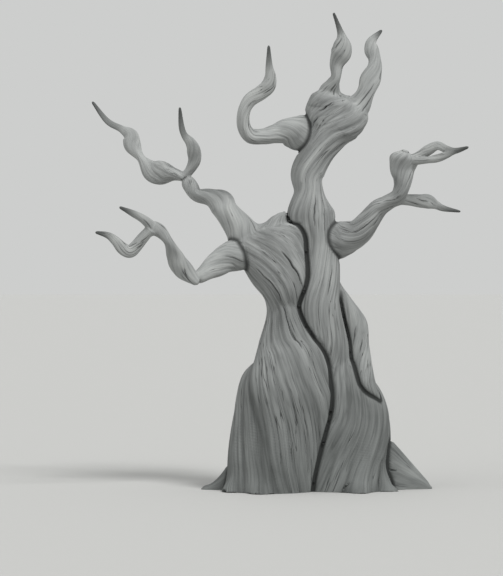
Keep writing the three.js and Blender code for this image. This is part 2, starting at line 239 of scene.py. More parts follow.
LOWER_LEFT_BOUGH = Limb("lower_left_bough", girth=(0.200, 0.076), stations=[
    (-0.780, -0.070, 2.955, 0.225),
    (-0.970, -0.120, 2.915, 0.196),
    (-1.085, -0.165, 2.870, 0.172),
    (-1.215, -0.225, 2.780, 0.144),
    (-1.330, -0.295, 2.690, 0.100),
    (-1.440, -0.365, 2.612, 0.075),
])

LOWER_LEFT_LIMB = Limb("lower_left_limb", girth=(0.092, 0.066), melt=0.03, stations=[
    (-1.412, -0.355, 2.585, 0.056),
    (-1.548, -0.430, 2.702, 0.110),
    (-1.632, -0.485, 2.805, 0.116),
    (-1.690, -0.545, 2.920, 0.098),
    (-1.765, -0.640, 3.087, 0.056),
    (-1.868, -0.735, 3.205, 0.082),
    (-1.975, -0.820, 3.252, 0.090),
])

LOWER_LEFT_HIGH_TWIG = Limb("lower_left_high_twig", girth=(0.058, 0.015), melt=0.03, stations=[
    (-1.930, -0.785, 3.232, 0.072),
    (-2.056, -0.880, 3.347, 0.052),
    (-2.187, -0.960, 3.420, 0.040),
    (-2.342, -1.060, 3.490, 0.014),
])

LOWER_LEFT_LOW_TWIG = Limb("lower_left_low_twig", girth=(0.066, 0.015), melt=0.03, stations=[
    (-1.952, -0.800, 3.245, 0.060),
    (-2.079, -0.785, 3.105, 0.070),
    (-2.150, -0.775, 3.022, 0.074),
    (-2.228, -0.775, 2.962, 0.078),
    (-2.316, -0.790, 2.998, 0.073),
    (-2.395, -0.830, 3.080, 0.058),
    (-2.490, -0.880, 3.150, 0.040),
    (-2.640, -0.960, 3.188, 0.014),
])

HOOK = Limb("hook_bough", girth=(0.175, 0.017), bend=6, beyond="hook_limb", stations=[
    (0.020, 0.050, 4.425, 0.255),
    (-0.170, -0.025, 4.445, 0.215),
    (-0.330, -0.125, 4.463, 0.158),
    (-0.455, -0.185, 4.428, 0.120),
    (-0.600, -0.265, 4.385, 0.098),
    (-0.755, -0.345, 4.390, 0.092),
    (-0.835, -0.400, 4.500, 0.082),
    (-0.838, -0.450, 4.665, 0.076),
    (-0.768, -0.495, 4.812, 0.084),
    (-0.630, -0.530, 4.912, 0.090),
    (-0.538, -0.560, 5.000, 0.090),
    (-0.512, -0.580, 5.112, 0.068),
    (-0.526, -0.600, 5.240, 0.043),
    (-0.534, -0.640, 5.488, 0.014),
])

CROWN_LEFT_PRONG = Limb("crown_left_prong", girth=(0.120, 0.015), stations=[
    (0.225, 0.000, 4.780, 0.160),
    (0.228, -0.030, 4.950, 0.138),
    (0.275, -0.062, 5.060, 0.086),
    (0.310, -0.095, 5.150, 0.062),
    (0.317, -0.140, 5.297, 0.088),
    (0.365, -0.180, 5.432, 0.126),
    (0.380, -0.210, 5.545, 0.106),
    (0.363, -0.240, 5.674, 0.044),
    (0.268, -0.290, 5.930, 0.014),
])

CROWN_RIGHT_PRONG = Limb("crown_right_prong", girth=(0.140, 0.015), stations=[
    (0.350, 0.000, 4.460, 0.045),
    (0.495, 0.000, 4.610, 0.110),
    (0.605, 0.012, 4.775, 0.136),
    (0.690, 0.040, 4.960, 0.110),
    (0.742, 0.080, 5.125, 0.130),
    (0.798, 0.125, 5.283, 0.094),
    (0.802, 0.160, 5.395, 0.078),
    (0.770, 0.200, 5.510, 0.092),
    (0.772, 0.230, 5.624, 0.058),
    (0.905, 0.280, 5.770, 0.014),
])

RIGHT_BOUGH = Limb("right_bough", girth=(0.225, 0.105), bend=7, beyond="right_riser", stations=[
    (0.130, 0.020, 3.080, 0.265),
    (0.330, -0.005, 3.112, 0.235),
    (0.460, -0.045, 3.140, 0.200),
    (0.598, -0.105, 3.212, 0.164),
    (0.712, -0.165, 3.350, 0.138),
    (0.820, -0.225, 3.495, 0.116),
    (0.940, -0.290, 3.572, 0.094),
    (1.055, -0.345, 3.638, 0.092),
    (1.112, -0.375, 3.744, 0.098),
    (1.125, -0.395, 3.862, 0.118),
    (1.114, -0.410, 3.980, 0.158),
    (1.128, -0.425, 4.110, 0.174),
    (1.150, -0.435, 4.200, 0.100),
])

RIGHT_HIGH_TWIG = Limb("right_high_twigs", girth=(0.060, 0.015), melt=0.04, stations=[
    (1.125, -0.425, 4.040, 0.080),
    (1.299, -0.450, 4.125, 0.062),
    (1.423, -0.500, 4.200, 0.066),
    (1.535, -0.550, 4.256, 0.054),
    (1.641, -0.610, 4.212, 0.046),
    (1.744, -0.665, 4.190, 0.038),
    (1.908, -0.745, 4.232, 0.014),
])

RIGHT_HIGH_TWIG_STRAND = Limb("right_high_twigs", girth=(0.054, 0.026), melt=0.02, stations=[
    (1.220, -0.445, 4.080, 0.060),
    (1.391, -0.540, 4.082, 0.042),
    (1.532, -0.615, 4.100, 0.050),
    (1.648, -0.645, 4.140, 0.042),
    (1.744, -0.665, 4.187, 0.026),
])

RIGHT_LOW_TWIG = Limb("right_low_twig", girth=(0.068, 0.015), melt=0.04, stations=[
    (1.030, -0.320, 3.612, 0.064),
    (1.200, -0.240, 3.606, 0.068),
    (1.352, -0.165, 3.592, 0.082),
    (1.460, -0.110, 3.584, 0.088),
    (1.558, -0.055, 3.550, 0.054),
    (1.660, -0.005, 3.508, 0.038),
    (1.884, 0.090, 3.468, 0.012),
])

BACK_BOUGH = Limb("back_bough", girth=(0.190, 0.105), facing="x", stations=[
    (0.080, 0.090, 2.700, 0.240),
    (0.060, 0.300, 2.860, 0.175),
    (0.020, 0.480, 3.010, 0.135),
    (-0.020, 0.620, 3.200, 0.125),
    (-0.010, 0.760, 3.390, 0.110),
    (0.020, 0.930, 3.500, 0.120),
])

BACK_LOW_LIMB = Limb("back_low_limb", girth=(0.082, 0.015), facing="x", melt=0.04, stations=[
    (0.015, 0.890, 3.480, 0.090),
    (-0.020, 1.080, 3.520, 0.062),
    (-0.050, 1.240, 3.560, 0.092),
    (-0.030, 1.370, 3.660, 0.086),
    (0.000, 1.440, 3.800, 0.046),
    (0.020, 1.540, 3.930, 0.040),
    (0.010, 1.700, 4.060, 0.014),
])

BACK_HIGH_LIMB = Limb("back_high_limb", girth=(0.088, 0.015), facing="x", melt=0.04, stations=[
    (0.020, 0.860, 3.470, 0.080),
    (0.010, 0.930, 3.670, 0.068),
    (-0.010, 0.900, 3.860, 0.096),
    (0.000, 0.830, 4.040, 0.088),
    (0.090, 0.800, 4.210, 0.048),
    (0.210, 0.850, 4.360, 0.084),
    (0.290, 0.900, 4.500, 0.064),
    (0.360, 0.890, 4.760, 0.014),
])


def root_ridge(stem, foot, ridge, host=None):
    """A ridge of the root flare, which runs straight out from inside its stem and stands in the ground."""
    heading, reach, rise, spread, hollow = ridge
    toward = math.radians(heading)
    stations = []
    for share in np.linspace(0, 1, RIDGE_STATIONS):
        out = reach * (RIDGE_START + (1 - RIDGE_START) * share)
        half_width = spread * (1 + (RIDGE_END_SPREAD - 1) * share)
        height = RIDGE_END_RISE + (rise - RIDGE_END_RISE) * (1 - share) ** hollow
        place = (foot[0] + out * math.cos(toward), foot[1] + out * math.sin(toward), RIDGE_MIDDLE)
        stations.append((*place, half_width, height - RIDGE_MIDDLE))
    return Limb(stem.piece, stations, flutes=NO_FLUTES, facing="z", melt=RIDGE_MELT, host=host)


RIGHT_ROOTS = [root_ridge(RIGHT_STEM, RIGHT_FOOT, ridge, host=RIGHT_STEM) for ridge in RIGHT_RIDGES]
LEFT_ROOTS = [root_ridge(LEFT_STEM, LEFT_FOOT, ridge, host=LEFT_STEM) for ridge in LEFT_RIDGES]

LOWER_LEFT_LIMBS = [LOWER_LEFT_BOUGH, LOWER_LEFT_LIMB, LOWER_LEFT_HIGH_TWIG, LOWER_LEFT_LOW_TWIG]

# The crease round the root of a bough is this deep, as a share of the deepest seam.
CREASE = 0.7

# The order in which the tree grows together. Stems press on each other along a deep seam. Boughs leave a stem
# with a crease, apart from the upper left one, the crown's prongs and the back one, which flow on.
STEM_GROWTHS = [
    Growth([RIGHT_STEM, *RIGHT_ROOTS], melt=0, seam=0),
    Growth([LEFT_STEM, SHOULDER_HORN, *LEFT_ROOTS], melt=0.05, seam=1),
    Growth([SIDE_STRAND], melt=0.04, seam=1),
    Growth([root_ridge(LEFT_STEM, LEFT_FOOT, LEFT_SIDE_RIDGE)], melt=0.04, seam=1),
    Growth([root_ridge(RIGHT_STEM, RIGHT_FOOT, RIGHT_SIDE_RIDGE)], melt=0.04, seam=1),
]
BOUGH_GROWTHS = [
    Growth([UPPER_LEFT_BOUGH, UPPER_LEFT_LIMB, UPPER_LEFT_TWIG], melt=0.12, seam=0),
    Growth(LOWER_LEFT_LIMBS, melt=0.06, seam=CREASE),
    Growth([HOOK], melt=0.06, seam=CREASE),
    Growth([CROWN_LEFT_PRONG], melt=0.18, seam=0),
    Growth([CROWN_RIGHT_PRONG], melt=0.18, seam=0),
    Growth([RIGHT_BOUGH, RIGHT_HIGH_TWIG, RIGHT_HIGH_TWIG_STRAND, RIGHT_LOW_TWIG], melt=0.06, seam=CREASE),
    Growth([BACK_BOUGH, BACK_LOW_LIMB, BACK_HIGH_LIMB], melt=0.14, seam=0),
]
GROWTHS = STEM_GROWTHS + BOUGH_GROWTHS
LIMBS = [limb for growth in GROWTHS for limb in growth.limbs]
PIECES = sorted({name for limb in LIMBS for name in (limb.piece, limb.beyond) if name})

# How deep the seams are at most and as a share of the limb's radius, and how wide half of one is. A seam
# fades out between two radii of the limb beside it. Skins are taken to part at it between these two slopes.
SEAM_DEPTH = 0.024
SEAM_DEPTH_SHARE = 0.15
SEAM_WIDTH = 0.034
SEAM_FADES = (0.03, 0.08)
CREASE_SLOPES = (0.35, 1.2)

# Limbs are only measured for points this close to them, and seams for points this close to the skin.
REACH = 0.25
SEAM_REACH = REACH / 2

# The grains of limbs blend over this distance, and a limb has no share where it lies this much further off.
GRAIN_BLEND = 0.03
GRAIN_REACH = 5 * GRAIN_BLEND
LEAST_WEIGHT = 1e-9

# The place that a point lies beside is found from its nearest frame in these rounds. Frames crowd or spread
# in a bend by no more than these shares.
POINTS_AT_ONCE = 20000
PLACING_ROUNDS = 2
PLACING_SPREAD = (0.4, 3)

# What stands in for zero in a division, and how near to each other points count as one.
TINY = 1e-6
SAME_PLACE = 1e-5

# Corners this close to the ground count as on it, and a corner is moved no further than this in one round.
ON_THE_GROUND = GRIT / 20
SETTLING_STEP = 0.03


def ribbon_depth(girth, share, half_width):
    """Half the depth of a ribbon at a share of its length, where it shows this half width."""
    here = girth[0] + (girth[1] - girth[0]) * share
    return min(max(here**2 / half_width, THINNEST * half_width), DEEPEST * half_width)


def smooth_curve(points, shares):
    """Places on the smooth curve through some points, which runs straight on at its ends."""
    points = np.asarray(points, float)
    held = np.vstack([2 * points[0] - points[1], points, 2 * points[-1] - points[-2]])
    at = shares * (len(points) - 1)
    first = np.minimum(at.astype(int), len(points) - 2)
    t = (at - first)[:, None]
    p0, p1, p2, p3 = (held[first + k] for k in range(4))
    return p1 + t / 2 * (p2 - p0 + t * (2 * p0 - 5 * p1 + 4 * p2 - p3 + t * (3 * (p1 - p2) + p3 - p0)))


def unit(vectors):
    return vectors / np.linalg.norm(vectors, axis=-1, keepdims=True)


class Course:
    """A limb's frames along its course: centre, half sizes, and the directions along, across and deep."""

    def __init__(self, limb):
        last = len(limb.stations) - 1
        places = [station[:3] for station in limb.stations]
        halves = [
            station[3:] if len(station) > 4 else (station[3], ribbon_depth(limb.girth, i / last, station[3]))
            for i, station in enumerate(limb.stations)
        ]
        rough = smooth_curve(places, np.linspace(0, 1, LENGTH_POINTS))
        self.limb = limb
        self.length = np.linalg.norm(np.diff(rough, axis=0), axis=1).sum()
        self.count = max(LEAST_FRAMES, math.ceil(self.length / FRAME_STEP))
        self.step = self.length / self.count
        shares = np.linspace(0, 1, self.count + 1)
        self.centre = smooth_curve(places, shares)
        self.half = smooth_curve(halves, shares)
        self.along = unit(np.gradient(self.centre, axis=0))
        facing = np.array([limb.facing == axis for axis in "xyz"], float)
        self.across = unit(np.cross(facing, self.along))
        self.deep = np.cross(self.across, self.along)
        self.radius = math.sqrt(self.half.prod(1).mean())
        self.thickness = np.sqrt(self.half.prod(1, keepdims=True))
        to_end = self.step * np.arange(self.count, -1, -1)
        self.inmost = np.flatnonzero(to_end > self.thickness[:, 0])[-1]
        self.round_off(-1, 1)
        if limb.girth:
            self.round_off(0, BUTT_DOME)

    def round_off(self, end, height):
        """Closes the limb at its first or last frame like a dome as high as this share of its radius."""
        to_end = np.linalg.norm(self.centre - self.centre[end], axis=1)
        dome = height * math.sqrt(self.half[end].prod())
        inside = np.clip(1 - to_end / dome, 0, 1)
        self.half = self.half * np.maximum(np.sqrt(1 - inside**2), LEAST_DOME_SHARE)[:, None]

    def between(self, values, at):
        """Values of the frames at places between them."""
        lower = np.minimum(at.astype(int), self.count - 1)
        share = (at - lower)[:, None]
        return values[lower] * (1 - share) + values[lower + 1] * share

    def swelling(self, angle, length):
        """How much further out than its half sizes the skin lies, at an angle round the limb and along it."""
        count, height, winding = self.limb.flutes
        return 1 + height * np.cos(count * (angle + math.radians(winding) * length))

    def beside(self, points):
        """The place between frames that each point lies beside, even before the first or past the last."""
        squares = (self.centre**2).sum(1)
        chunks = np.array_split(points, max(1, len(points) // POINTS_AT_ONCE))
        nearest = [(squares - 2 * chunk @ self.centre.T).argmin(1) for chunk in chunks]
        at = np.concatenate(nearest).astype(float)
        bend = np.gradient(self.along, axis=0)
        for _ in range(PLACING_ROUNDS):
            held = np.clip(at, 0, self.count)
            offset = points - self.between(self.centre, held)
            ahead = (offset * self.between(self.along, held)).sum(1) / self.step
            turning = (offset * self.between(bend, held)).sum(1) / self.step
            at = held + ahead / np.clip(1 - turning, *PLACING_SPREAD)
        return at

    def across_and_deep(self, points, at):
        """Where points lie round the limb, as shares of its half sizes there, and those half sizes."""
        offset = points - self.between(self.centre, at)
        half = self.between(self.half, at)
        across = (offset * self.between(self.across, at)).sum(1) / half[:, 0]
        deep = (offset * self.between(self.deep, at)).sum(1) / half[:, 1]
        return across, deep, half


def rough_tube(course, bm):
    """Adds a limb's tube: a cylinder whose rings are laid along its course."""
    rings = math.ceil(course.length / TUBE_RING_STEP)
    before = len(bm.verts)
    made = bmesh.ops.create_cone(bm, cap_ends=True, segments=TUBE_SIDES, radius1=1, radius2=1, depth=1)
    sides = {e for v in made["verts"] for e in v.link_edges if abs(e.verts[0].co.z - e.verts[1].co.z) > 0.5}
    bmesh.ops.subdivide_edges(bm, edges=list(sides), cuts=rings - 1)
    bm.verts.ensure_lookup_table()
    verts = bm.verts[before:]
    unit_places = np.array([v.co for v in verts])
    at = np.clip((unit_places[:, 2] + 0.5) * course.count, 0, course.count)
    angle = np.arctan2(unit_places[:, 1], unit_places[:, 0])
    swell = course.swelling(angle, at * course.step)[:, None]
    half = course.between(course.half, at) * swell
    places = course.between(course.centre, at)
    places = places + course.between(course.across, at) * half[:, :1] * unit_places[:, :1]
    places = places + course.between(course.deep, at) * half[:, 1:] * unit_places[:, 1:2]
    for vert, place in zip(verts, places):
        vert.co = place


def link(thing):
    bpy.context.scene.collection.objects.link(thing)
    return thing


def object_of(name, bm):
    """A new object made of a bmesh."""
    mesh = bpy.data.meshes.new(name)
    bm.to_mesh(mesh)
    bm.free()
    return link(bpy.data.objects.new(name, mesh))


def apply_modifiers(thing):
    """Keeps what the modifiers make of an object as its mesh."""
    graph = bpy.context.evaluated_depsgraph_get()
    made = bpy.data.meshes.new_from_object(thing.evaluated_get(graph))
    thing.modifiers.clear()
    thing.data = made


def read(collection, key, width, kind):
    """Values of a mesh as an array, one row for each corner, edge or face."""
    flat = np.empty(len(collection) * width, kind)
    collection.foreach_get(key, flat)
    return flat.reshape(-1, width) if width > 1 else flat


def places_of(mesh):
    return read(mesh.vertices, "co", 3, np.float32).astype(float)


def normals_of(mesh):
    return read(mesh.vertex_normals, "vector", 3, np.float32).astype(float)


def put(mesh, places):
    """Moves the corners of a mesh, and keeps those on the ground on it."""
    places[:, 2] = np.maximum(places[:, 2], 0)
    mesh.vertices.foreach_set("co", places.astype(np.float32).ravel())
    mesh.update()


def sums_of_neighbours(values, edges):
    """For each corner, the sum of a value over the corners that edges join it to."""
    first, second = edges.T
    count = len(values)
    return np.bincount(first, values[second], count) + np.bincount(second, values[first], count)


def relax(mesh, edges):
    """Evens out the corners of a mesh among their neighbours, apart from those on the ground."""
    places = places_of(mesh)
    neighbours = sums_of_neighbours(np.ones(len(places)), edges)
    for axis in range(3):
        middle = sums_of_neighbours(places[:, axis], edges) / neighbours
        free = places[:, 2] > 0
        places[free, axis] = (places[free, axis] + middle[free]) / 2
    put(mesh, places)


def grown_together(courses):
    """One rough skin round all the limbs, with nothing left inside and a flat cut at the ground."""
    bm = bmesh.new()
    for course in courses.values():
        rough_tube(course, bm)
    bmesh.ops.recalc_face_normals(bm, faces=bm.faces)
    skin = object_of("skin", bm)
    melting = skin.modifiers.new("grow together", "REMESH")
    melting.mode = "VOXEL"
    melting.voxel_size = GRIT
    apply_modifiers(skin)
    bm = bmesh.new()
    bm.from_mesh(skin.data)
    bmesh.ops.bisect_plane(
        bm,
        geom=[*bm.verts, *bm.edges, *bm.faces],
        dist=ON_THE_GROUND,
        plane_co=(0, 0, 0),
        plane_no=(0, 0, 1),
        clear_inner=True,
    )
    bm.to_mesh(skin.data)
    bm.free()
    return skin


@dataclass
class Near:
    """Points near a limb: which they are, how far off its skin, beside which frames, and its radius there."""

    limb: Limb
    index: np.ndarray
    distance: np.ndarray
    at: np.ndarray
    radius: np.ndarray


def near_limb(course, places):
    """Measures the points that lie near a limb."""
    margin = course.half.max() + REACH
    low, high = course.centre.min(0) - margin, course.centre.max(0) + margin
    index = np.flatnonzero(((places > low) & (places < high)).all(1))
    points = places[index]
    at = course.beside(points)
    past = np.maximum(np.maximum(-at, at - course.count), 0) * course.step
    at = np.clip(at, 0, course.count)
    x, y, half = course.across_and_deep(points, at)
    swell = course.swelling(np.arctan2(y, x), at * course.step)
    share = np.hypot(x, y) / swell
    slope = np.hypot(x / half[:, 0], y / half[:, 1]) / np.maximum(share * swell**2, TINY)
    outside = (share - 1) / np.maximum(slope, TINY)
    distance = np.where(past > 0, np.hypot(np.maximum(outside, 0), past), outside)
    near = distance < REACH
    return Near(course.limb, index[near], distance[near], at[near], np.sqrt(half.prod(1))[near])


def melted(a, b, width):
    """The nearer of two distances, rounded over where they are less than this width apart."""
    if width == 0:
        return np.minimum(a, b)
    share = np.clip(1 - np.abs(a - b) / width, 0, 1)
    return np.minimum(a, b) - share**2 * width / 4


@dataclass
class Measured:
    """Points measured from the whole tree: how far off its skin and off that of the stems alone, how dark the
    seam that they are in is, with painted shade and some dirt, and how deep, and the limbs near them."""

    distance: np.ndarray
    off_stems: np.ndarray
    seam: np.ndarray
    sunk: np.ndarray
    near: list


def fade_in(value, low, high):
    """A smooth step from 0 at the low end of a range to 1 at its high end."""
    share = np.clip((value - low) / (high - low), 0, 1)
    return share * share * (3 - 2 * share)


def steepness(values, places, edges):
    """How fast a value changes over the skin at each corner, along the edge where it changes fastest."""
    first, second = edges.T
    slope = np.abs(values[first] - values[second]) / np.linalg.norm(places[first] - places[second], axis=1)
    fastest = np.zeros(len(values))
    np.maximum.at(fastest, first, slope)
    np.maximum.at(fastest, second, slope)
    return fastest


def measure(courses, places, edges=None):
    """Measures points growth by growth, as limbs melt into what they grow on, and seams if it has edges."""
    near = {limb: near_limb(course, places) for limb, course in courses.items()}
    distance = np.full(len(places), REACH)
    seam = np.zeros(len(places))
    sunk = np.zeros(len(places))
    for growth in GROWTHS:
        if growth is BOUGH_GROWTHS[0]:
            off_stems = distance
        own = np.full(len(places), REACH)
        thick = np.zeros(len(places))
        for limb in growth.limbs:
            found = near[limb]
            closer = found.distance < own[found.index]
            thick[found.index[closer]] = found.radius[closer]
            own[found.index] = melted(own[found.index], found.distance, limb.melt)
        if edges is not None:
            apart = own - distance
            beside = apart / np.clip(steepness(apart, places, edges), *CREASE_SLOPES)
            uncovered = fade_in(apart, -SEAM_WIDTH, SEAM_WIDTH)
            crease = np.exp(-((beside / SEAM_WIDTH) ** 2)) * (np.abs(own) < SEAM_REACH)
            crease = growth.seam * crease * fade_in(thick, *SEAM_FADES)
            seam = np.maximum(seam * uncovered, crease)
            sunk = np.maximum(sunk * uncovered, crease * np.minimum(SEAM_DEPTH, SEAM_DEPTH_SHARE * thick))
        distance = melted(distance, own, growth.melt)
    return Measured(distance, off_stems, seam, sunk, list(near.values()))


def settle(skin, courses, edges, rounds):
    """Evens out the skin and moves it onto the true surface of the limbs grown together."""
    for _ in range(rounds):
        relax(skin.data, edges)
        places = places_of(skin.data)
        step = np.clip(measure(courses, places).distance, -SETTLING_STEP, SETTLING_STEP)
        put(skin.data, places - normals_of(skin.data) * step[:, None])


# The seeds of all that is left to chance, how many directions the noise has, and what makes it swing by 1.
GRADIENT_SEED = 11
SHUFFLE_SEED = 12
CRACK_SEED = 100
DIRECTIONS = 256
WRAP = DIRECTIONS - 1
NOISE_SWING = 1.7
GRADIENTS = unit(np.random.default_rng(GRADIENT_SEED).normal(size=(DIRECTIONS, 3))).astype(np.float32)
SHUFFLE = np.random.default_rng(SHUFFLE_SEED).permutation(DIRECTIONS)


def noise(points):
    """Smooth noise from about -1 to 1 at each point, with bumps about one unit wide."""
    cell = np.floor(points).astype(int)
    inside = (points - cell).astype(np.float32)
    ease = inside**3 * (inside * (inside * 6 - 15) + 10)
    total = np.zeros(len(points), np.float32)
    for corner in product((0, 1), repeat=3):
        x, y, z = (cell + corner).T & WRAP
        column = SHUFFLE[(SHUFFLE[x] + y) & WRAP]
        gradient = GRADIENTS[SHUFFLE[(column + z) & WRAP]]
        weight = np.where(corner, ease, 1 - ease).prod(1)
        total += weight * (gradient * (inside - corner)).sum(1)
    return total * NOISE_SWING


# Grain is drawn out along the limb: its ridges are this many times longer than they are wide.
DRAWN_OUT = 9

# Limbs, layers of ridges and streaks read the noise this far from each other, so that they don't look alike.
LIMBS_APART = 7.3
LAYERS_APART = 31.7
STREAKS_APART = 53.9

# Layers of ridges and furrows: how far apart they are and how high, as shares of the limb's radius.
RIDGES = [(0.62, 0.052), (0.27, 0.022), (0.11, 0.009)]

# Ridges fade out where they stand closer than the corners of the skin can show. This power sharpens furrows.
RIDGES_SHOWN = (2 * GRIT, 4 * GRIT)
FURROW_SHARPNESS = 3

# Streaks of lighter and darker wood: how wide they are, and how strong.
STREAKS = [(0.16, 0.5), (0.06, 0.3), (0.025, 0.2)]

# Drying cracks run with the grain and taper to both ends. How many there are on a metre of limb, between
# which shares of its length their middles lie, and how thin a limb may be to have them.
CRACKS_PER_METRE = 3.5
CRACK_MIDDLES = (0.08, 0.9)
CRACKED_FROM_RADIUS = 0.045

# The shortest and longest half length of a crack on a limb of one metre radius, its least half width, that
# width and its depth as shares of the radius, and how thin its ends get.
CRACK_HALF_LENGTH = (0.15, 0.60)
CRACK_LEAST_WIDTH = 0.008
CRACK_WIDTH = 0.030
CRACK_DEPTH = 0.075
CRACK_END = 0.1

# How far a crack wanders sideways, in half widths, and over what length.
CRACK_WANDER = 1.6
CRACK_WANDER_LENGTH = 0.12

# Where a ridge carries on its stem's grain, the cracks end this far off the stem, as shares of its radius.
OFF_ITS_LIMB = (1.15, 1.45)

# Relief fades out over a limb's domed end, where its radius falls between these shares of its thickness.
DOME_SMOOTH = (0.4, 0.95)

# The ends of twigs are dark where they get thinner than these radii.
THIN_TIP = (0.018, 0.045)


def turned_away(angle):
    """An angle as the same one from minus half a turn to half a turn."""
    return (angle + math.pi) % (2 * math.pi) - math.pi


class Grain:
    """Where points lie in the grain of a limb: by two lengths round it and by one, squeezed, along it."""

    def __init__(self, course, points):
        at = np.clip(course.beside(points), 0, course.count)
        across, deep, half = course.across_and_deep(points, at)
        self.course = course
        self.seed = LIMBS.index(course.limb)
        self.radius = np.sqrt(half.prod(1))
        self.thickness = course.between(course.thickness, at)[:, 0]
        self.on_side = fade_in(self.radius / self.thickness, *DOME_SMOOTH)[:, None]
        self.length = at * course.step
        self.angle = np.arctan2(deep, across) + math.radians(course.limb.flutes[2]) * self.length
        self.astray = fade_in(np.hypot(across, deep), *OFF_ITS_LIMB)
        round_it = course.radius * np.stack([np.cos(self.angle), np.sin(self.angle)], axis=1)
        self.place = np.column_stack([round_it, self.length / DRAWN_OUT + LIMBS_APART * self.seed])

    def furrows(self):
        """How high the wood stands, and how deep the points are in a furrow."""
        height = np.zeros(len(self.place))
        furrow = np.zeros(len(self.place))
        for layer, (spacing, amount) in enumerate(RIDGES):
            seen = fade_in(spacing * self.radius, *RIDGES_SHOWN)
            place = self.place / (spacing * self.course.radius) + LAYERS_APART * layer
            valley = np.clip(1 - np.abs(noise(place)), 0, 1) ** FURROW_SHARPNESS
            height += seen * amount * self.radius * (0.5 - valley)
            furrow += seen * valley / len(RIDGES)
        return height, furrow

    def streaks(self):
        """How light the wood is, from about -1 to 1."""
        return sum(share * noise(self.place / width + STREAKS_APART) for width, share in STREAKS)

    def cracks(self):
        """How far open a drying crack is, from 0 to 1. A seeded rule deals the cracks out over the limb."""
        dealt = np.random.default_rng(CRACK_SEED + self.seed)
        still = np.zeros(len(self.place))
        wander = noise(np.column_stack([self.length / CRACK_WANDER_LENGTH, still, still + self.seed]))
        opened = still.copy()
        for _ in range(round(CRACKS_PER_METRE * self.course.length)):
            angle = dealt.uniform(-math.pi, math.pi)
            middle = dealt.uniform(*CRACK_MIDDLES) * self.course.length
            radius = math.sqrt(self.course.half[round(middle / self.course.step)].prod())
            if radius < CRACKED_FROM_RADIUS:
                continue
            half_length = dealt.uniform(*CRACK_HALF_LENGTH) * math.sqrt(radius)
            half_width = max(CRACK_LEAST_WIDTH, CRACK_WIDTH * radius)
            inside = np.flatnonzero(np.abs(self.length - middle) < half_length)
            lens = np.sqrt(1 - ((self.length[inside] - middle) / half_length) ** 2)
            turn = turned_away(self.angle[inside] - angle)
            sideways = turn * self.radius[inside] / half_width + CRACK_WANDER * wander[inside]
            open_here = lens * np.clip(1 - (sideways / np.maximum(lens, CRACK_END)) ** 2, 0, 1)
            opened[inside] = np.maximum(opened[inside], open_here)
        return opened * (1 - self.astray)


def write_attribute(mesh, name, values):
    """Keeps a vector for each corner of the mesh under a name that the materials read."""
    attribute = mesh.attributes.new(name, "FLOAT_VECTOR", "POINT")
    attribute.data.foreach_set("vector", values.astype(np.float32).ravel())


def weather(skin, courses, edges):
    """Cuts the grain, cracks and seams into the skin, and returns the number of each corner's piece."""
    places = places_of(skin.data)
    count = len(places)
    measured = measure(courses, places, edges)
    nearest = np.full(count, REACH)
    for near in measured.near:
        nearest[near.index] = np.minimum(nearest[near.index], near.distance)
    weights = np.full(count, LEAST_WEIGHT)
    sums = np.zeros((count, 5))
    best = np.full(count, REACH)
    grain = np.zeros((count, 3))
    piece = np.zeros(count, int)
    for near in measured.near:
        behind = near.distance - nearest[near.index]
        close = behind < GRAIN_REACH
        index = near.index[close]
        own = Grain(courses[near.limb.host or near.limb], places[index])
        weight = np.exp(-behind[close] / GRAIN_BLEND)
        height, furrow = own.furrows()
        opened = own.cracks()
        height = height - opened * CRACK_DEPTH * own.radius
        weights[index] += weight
        thin = 1 - fade_in(own.thickness, *THIN_TIP)
        relief = np.column_stack([height, furrow, opened]) * own.on_side
        sums[index] += weight[:, None] * np.column_stack([relief, own.streaks(), thin])
        wins = near.distance[close] < best[index]
        best[index[wins]] = near.distance[close][wins]
        grain[index[wins]] = own.place[wins]
        piece[index[wins]] = piece_numbers(near, courses)[close][wins]
    height, furrow, opened, streak, thin = (sums / weights[:, None]).T
    height = height * (1 - measured.seam) - measured.sunk
    put(skin.data, places + normals_of(skin.data) * height[:, None])
    bleached = fade_in(measured.off_stems, 0, REACH)
    write_attribute(skin.data, "grain", grain)
    # The furrows, cracks and seams are kept for the painted shade in them, and the dirt in the cracks and
    # seams.
    write_attribute(skin.data, "wear", np.column_stack([furrow, opened, measured.seam]))
    write_attribute(skin.data, "tone", np.column_stack([streak, bleached, thin]))
    write_attribute(skin.data, "skin_normal", normals_of(skin.data))
    return piece


def piece_numbers(near, courses):
    """The number of the piece that each point near a limb belongs to."""
    limb = near.limb
    numbers = np.full(len(near.index), PIECES.index(limb.piece))
    if limb.beyond:
        share = limb.bend / (len(limb.stations) - 1)
        numbers[near.at > share * courses[limb].count] = PIECES.index(limb.beyond)
    return numbers


def without_scraps(piece, edges, rounds):
    """Gives each corner to the piece that most of its neighbours belong to, so that borders run smoothly."""
    for _ in range(rounds):
        belongs = [(piece == number) * 1.0 for number in range(len(PIECES))]
        piece = np.argmax([sums_of_neighbours(own, edges) + own / 2 for own in belongs], axis=0)
    return piece


def part(skin, piece):
    """Parts the skin into one object for each piece, and returns them by name."""
    starts = read(skin.data.polygons, "loop_start", 1, np.int32)
    corners = read(skin.data.loops, "vertex_index", 1, np.int32)
    numbers = np.maximum.reduceat(piece[corners], starts)
    for name in PIECES:
        skin.data.materials.append(bpy.data.materials.new("part_" + name))
    skin.data.polygons.foreach_set("material_index", numbers)
    before = set(bpy.data.objects)
    bpy.context.view_layer.objects.active = skin
    skin.select_set(True)
    bpy.ops.object.mode_set(mode="EDIT")
    bpy.ops.mesh.select_all(action="SELECT")
    bpy.ops.mesh.separate(type="MATERIAL")
    bpy.ops.object.mode_set(mode="OBJECT")
    parts = [skin, *(o for o in bpy.data.objects if o not in before)]
    return {thing.data.materials[0].name.removeprefix("part_"): thing for thing in parts}


